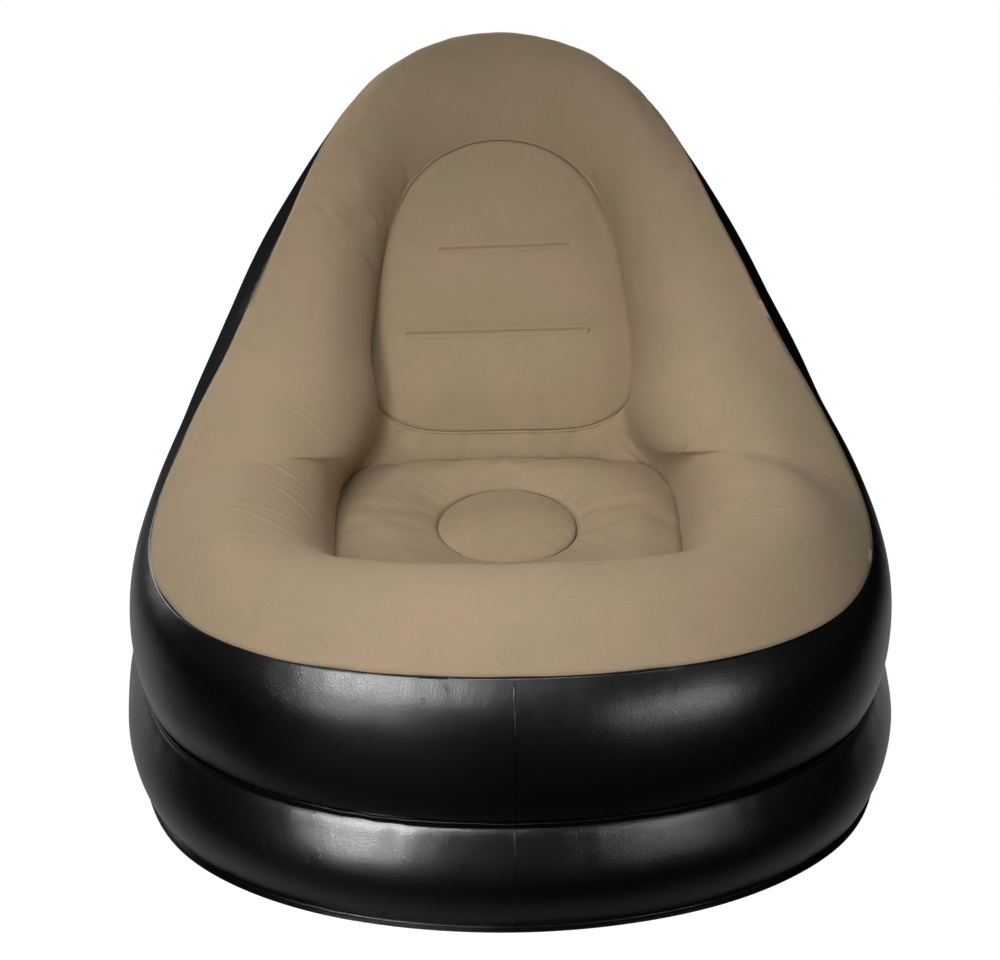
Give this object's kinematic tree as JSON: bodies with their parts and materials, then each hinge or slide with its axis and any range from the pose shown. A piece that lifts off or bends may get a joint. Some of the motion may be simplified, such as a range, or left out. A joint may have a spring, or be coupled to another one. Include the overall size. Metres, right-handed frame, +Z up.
{
  "type": "inflatable lounge chair",
  "caption": "Inflatable lounge chair: two stacked round air rings, a raised tapering back, a flocked bolster and recessed seat and back panels.",
  "frame": {"origin": "on the floor, under the middle of the chair's length and width", "axes": "+Z up, +Y towards the back of the chair, so the sitter faces -Y; +X to the right of someone facing the chair from the front"},
  "size_m": [0.9884, 1.1335, 0.7943],
  "materials": {
    "black_vinyl": "satin black vinyl sheet with a fine leather-like grain",
    "tan_flock": "short velvety tan-brown flock on vinyl sheet, slightly mottled",
    "tie_strip": "plain dark vinyl strip",
    "valve_plastic": "smooth soft black moulded plastic",
    "flap_film": "thin milky film"
  },
  "bodies": {
    "chair": {"base_sheet": "black_vinyl", "lower_band": "black_vinyl", "mid_sheet": "black_vinyl", "upper_band": "black_vinyl", "bolster_cover": "tan_flock", "seat_panel": "tan_flock", "back_panel": "tan_flock", "lower_seam_tape": "tie_strip", "upper_seam_tape": "tie_strip", "seat_frame_band": "tie_strip", "seat_core_band": "tie_strip", "back_strap_lower": "tie_strip", "back_strap_upper": "tie_strip", "base_beam_1": "tie_strip", "base_beam_2": "tie_strip", "base_beam_3": "tie_strip", "base_beam_4": "tie_strip", "lower_valve_collar": "valve_plastic", "upper_valve_collar": "valve_plastic"},
    "lower_insert": {"lower_valve_insert": "valve_plastic"},
    "lower_cap": {"lower_valve_cap": "valve_plastic"},
    "lower_flap": {"lower_valve_flap": "flap_film"},
    "upper_insert": {"upper_valve_insert": "valve_plastic"},
    "upper_cap": {"upper_valve_cap": "valve_plastic"},
    "upper_flap": {"upper_valve_flap": "flap_film"}
  },
  "joints": [
    {"name": "lower_insert_pull", "type": "slide", "parent": "chair", "child": "lower_insert", "axis": [0, 0.9977, 0.0674], "range_m": [0, 0.016]},
    {"name": "lower_cap_hinge", "type": "hinge", "parent": "lower_insert", "child": "lower_cap", "pos_m": [0, 0.5655, 0.05465], "axis": [-1, 0, 0], "range_deg": [0, 135]},
    {"name": "lower_flap_hinge", "type": "hinge", "parent": "lower_insert", "child": "lower_flap", "pos_m": [0, 0.5468, 0.06522], "axis": [1, 0, 0], "range_deg": [0, 35], "stiffness_Nm_per_rad": 0.002, "springref_deg": -11.46},
    {"name": "upper_insert_pull", "type": "slide", "parent": "chair", "child": "upper_insert", "axis": [0, 0.9749, 0.2227], "range_m": [0, 0.016]},
    {"name": "upper_cap_hinge", "type": "hinge", "parent": "upper_insert", "child": "upper_cap", "pos_m": [0, 0.52696, 0.30446], "axis": [-1, 0, 0], "range_deg": [0, 135]},
    {"name": "upper_flap_hinge", "type": "hinge", "parent": "upper_insert", "child": "upper_flap", "pos_m": [0, 0.50683, 0.31196], "axis": [1, 0, 0], "range_deg": [0, 35], "stiffness_Nm_per_rad": 0.002, "springref_deg": -11.46}
  ]
}
